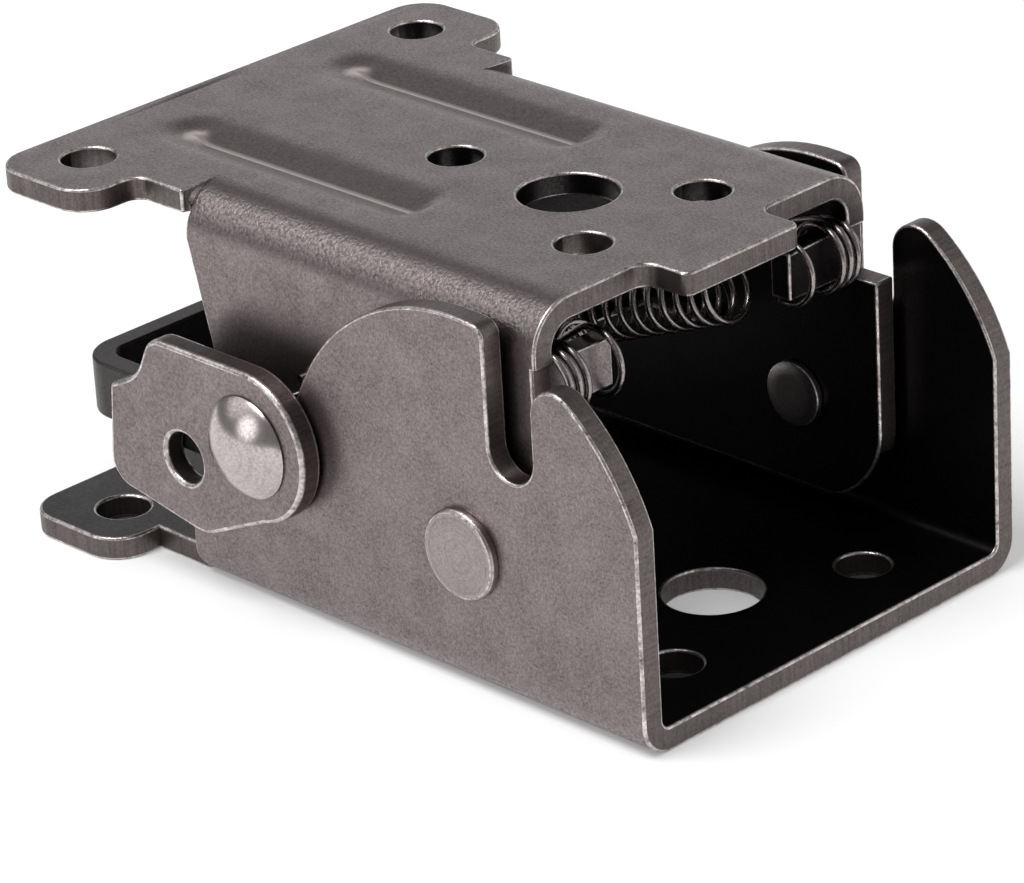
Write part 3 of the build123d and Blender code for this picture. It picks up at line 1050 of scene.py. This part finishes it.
@dataclass
class Studio:
    """A pale floor, plain soft light and the photograph's viewpoint."""

    azimuth: float = 46.49
    elevation: float = 24.77
    roll: float = -3.41
    focal: float = 5000.0
    target: tuple[float, float, float] = (0.0, 0.0, 2.5)
    target_shift: tuple[float, float] = (200.44, 149.15)
    distance: float = 484.5
    picture_width: int = 1024
    sensor: float = 36.0
    clip: tuple[float, float] = (0.01, 20.0)
    floor_half: float = 900.0
    paper: str = "#ededed"
    shaded_paper: str = "#4a4646"
    paper_roughness: float = 0.9
    paper_sheen: float = 0.1
    floor_glow: tuple[float, float] = (0.21, 0.5)
    glow_reach: tuple[float, float] = (110.0, 420.0)
    small_holes: tuple[tuple[float, float], ...] = (
        (7.6, -13.4),
        (7.6, 13.4),
        (-59.8, -23.75),
        (-59.8, 23.75),
    )
    shade_rim: tuple[float, float] = (4.4, 5.5)
    room_fill: float = 0.5
    room_dim: float = 0.25
    glows: tuple[Glow, ...] = (
        Glow((-0.66, 0.72, 0.22), 0.84, 0.98, 0.58),
        Glow((-0.66, -0.42, 0.63), 0.88, 0.97, 0.85),
        Glow((-0.22, -0.91, 0.32), 0.93, 0.975, 2.2),
        Glow((0.76, 0.62, 0.2), 0.6, 0.95, 0.65),
    )
    lamp_size: float = 0.5
    lamp_power: float = 4.8
    lamp_place: tuple[float, float, float] = (-0.10, -0.35, 0.75)
    lamp_aim: tuple[float, float, float] = (-0.02, 0.0, 0.02)

    def place_camera(self) -> None:
        """Stand the camera where the photograph was taken from.

        The target point lies target_shift pixels right of and below the middle of the picture.
        """
        azimuth = math.radians(self.azimuth)
        elevation = math.radians(self.elevation)
        roll = math.radians(self.roll)
        back = Vector(
            (
                math.sin(azimuth) * math.cos(elevation),
                -math.cos(azimuth) * math.cos(elevation),
                math.sin(elevation),
            )
        )
        level = (-back).cross(Vector((0, 0, 1))).normalized()
        rise = level.cross(-back)
        right = math.cos(roll) * level + math.sin(roll) * rise
        up = -math.sin(roll) * level + math.cos(roll) * rise
        scale = self.distance / self.focal
        eye = (
            Vector(self.target)
            + back * self.distance
            - right * self.target_shift[0] * scale
            + up * self.target_shift[1] * scale
        )
        camera = bpy.data.cameras.new("photo_view")
        camera.sensor_fit = "HORIZONTAL"
        camera.sensor_width = self.sensor
        camera.lens = self.focal * self.sensor / self.picture_width
        camera.clip_start, camera.clip_end = self.clip
        holder = bpy.data.objects.new("photo_view", camera)
        bpy.context.scene.collection.objects.link(holder)
        turn = Matrix((right, up, back)).transposed().to_4x4()
        holder.matrix_world = Matrix.Translation(eye * MM) @ turn
        bpy.context.scene.camera = holder

    def paper_material(self) -> bpy.types.Material:
        """Make white paper whose own glow lifts it to the backdrop's white, with the shadows kept.

        The glow grows away from the part, where the lamp falls off. Under the small screw holes, which
        let in hardly any light, the paper's colour is darkened to a painted shadow and has no glow.

        Returns:
            The material.
        """
        paper = bpy.data.materials.new("white_paper")
        paper.use_nodes = True
        tree = paper.node_tree
        shader = tree.nodes["Principled BSDF"]
        shader.inputs["Roughness"].default_value = self.paper_roughness
        shader.inputs["Specular IOR Level"].default_value = self.paper_sheen
        place = millimetres(tree, add_node(tree, "ShaderNodeTexCoord"))
        open_paper = 1.0
        for x, y in self.small_holes:
            away = calculate_vector(tree, "DISTANCE", place, (x, y, 0))
            open_paper = calculate(tree, "MULTIPLY", open_paper, remap(tree, away, self.shade_rim))
        # Painted shadow: the paper's colour turns dark under the small holes
        tint = mix(tree, Blend.COLOURS, open_paper, linear(self.shaded_paper), linear(self.paper))
        tree.links.new(tint, shader.inputs["Base Color"])
        distance = calculate_vector(tree, "LENGTH", place)
        own_glow = remap(tree, distance, self.glow_reach, self.floor_glow)
        lit = calculate(tree, "MULTIPLY", open_paper, own_glow)
        rays = add_node(tree, "ShaderNodeLightPath")
        seen = rays.outputs["Is Camera Ray"]
        for kind in ("Is Glossy Ray", "Is Transmission Ray"):
            seen = calculate(tree, "MAXIMUM", seen, rays.outputs[kind])
        shader.inputs["Emission Color"].default_value = WHITE
        tree.links.new(calculate(tree, "MULTIPLY", seen, lit), shader.inputs["Emission Strength"])
        return paper

    def lay_floor(self) -> None:
        """Lay the paper that the hinge stands on."""
        half = self.floor_half * MM
        mesh = bpy.data.meshes.new("floor")
        corners = [(-half, -half, 0), (half, -half, 0), (half, half, 0), (-half, half, 0)]
        mesh.from_pydata(corners, [], [(0, 1, 2, 3)])
        floor = bpy.data.objects.new("floor", mesh)
        bpy.context.scene.collection.objects.link(floor)
        mesh.materials.append(self.paper_material())

    def light(self) -> None:
        """Light the hinge by a white room and one soft lamp over the camera's left.

        In place of the white, the steel mirrors a dim room with the bright patches of glows.
        """
        world = bpy.data.worlds.new("white_room")
        world.use_nodes = True
        bpy.context.scene.world = world
        tree = world.node_tree
        shown = tree.nodes["Background"]
        shown.inputs["Color"].default_value = WHITE
        way = add_node(tree, "ShaderNodeTexCoord").outputs["Generated"]
        mirrored = self.room_dim
        for glow in self.glows:
            nearness = calculate_vector(tree, "DOT_PRODUCT", way, glow.toward)
            patch = remap(tree, nearness, (glow.starts, glow.full), (0.0, glow.strength), "SMOOTHSTEP")
            mirrored = calculate(tree, "ADD", mirrored, patch)
        rays = add_node(tree, "ShaderNodeLightPath")
        seen = calculate(tree, "MAXIMUM", rays.outputs["Is Camera Ray"], rays.outputs["Is Transmission Ray"])
        open_room = remap(tree, seen, (0.0, 1.0), (self.room_fill, 1.0))
        strength = mix(tree, Blend.NUMBERS, rays.outputs["Is Glossy Ray"], open_room, mirrored)
        tree.links.new(strength, shown.inputs["Strength"])
        lamp = bpy.data.lights.new("soft_lamp", "AREA")
        lamp.shape = "DISK"
        lamp.size = self.lamp_size
        lamp.energy = self.lamp_power
        holder = bpy.data.objects.new("soft_lamp", lamp)
        bpy.context.scene.collection.objects.link(holder)
        spot = Vector(self.lamp_place)
        aim = (Vector(self.lamp_aim) - spot).to_track_quat("-Z", "Y")
        holder.matrix_world = Matrix.Translation(spot) @ aim.to_matrix().to_4x4()

    def build(self) -> None:
        """Set the stage."""
        self.place_camera()
        self.lay_floor()
        self.light()
        bpy.context.scene.view_settings.view_transform = "Standard"


def main() -> None:
    """Build the hinge piece by piece."""
    logging.basicConfig(level=logging.INFO, format="%(name)s: %(message)s")
    for part in (Studio(), LowerBracket(), UpperBracket(), Pivot(), LockLever(), Springs()):
        part.build()
        LOG.info("%s done", type(part).__name__)


if __name__ == "__main__":
    main()
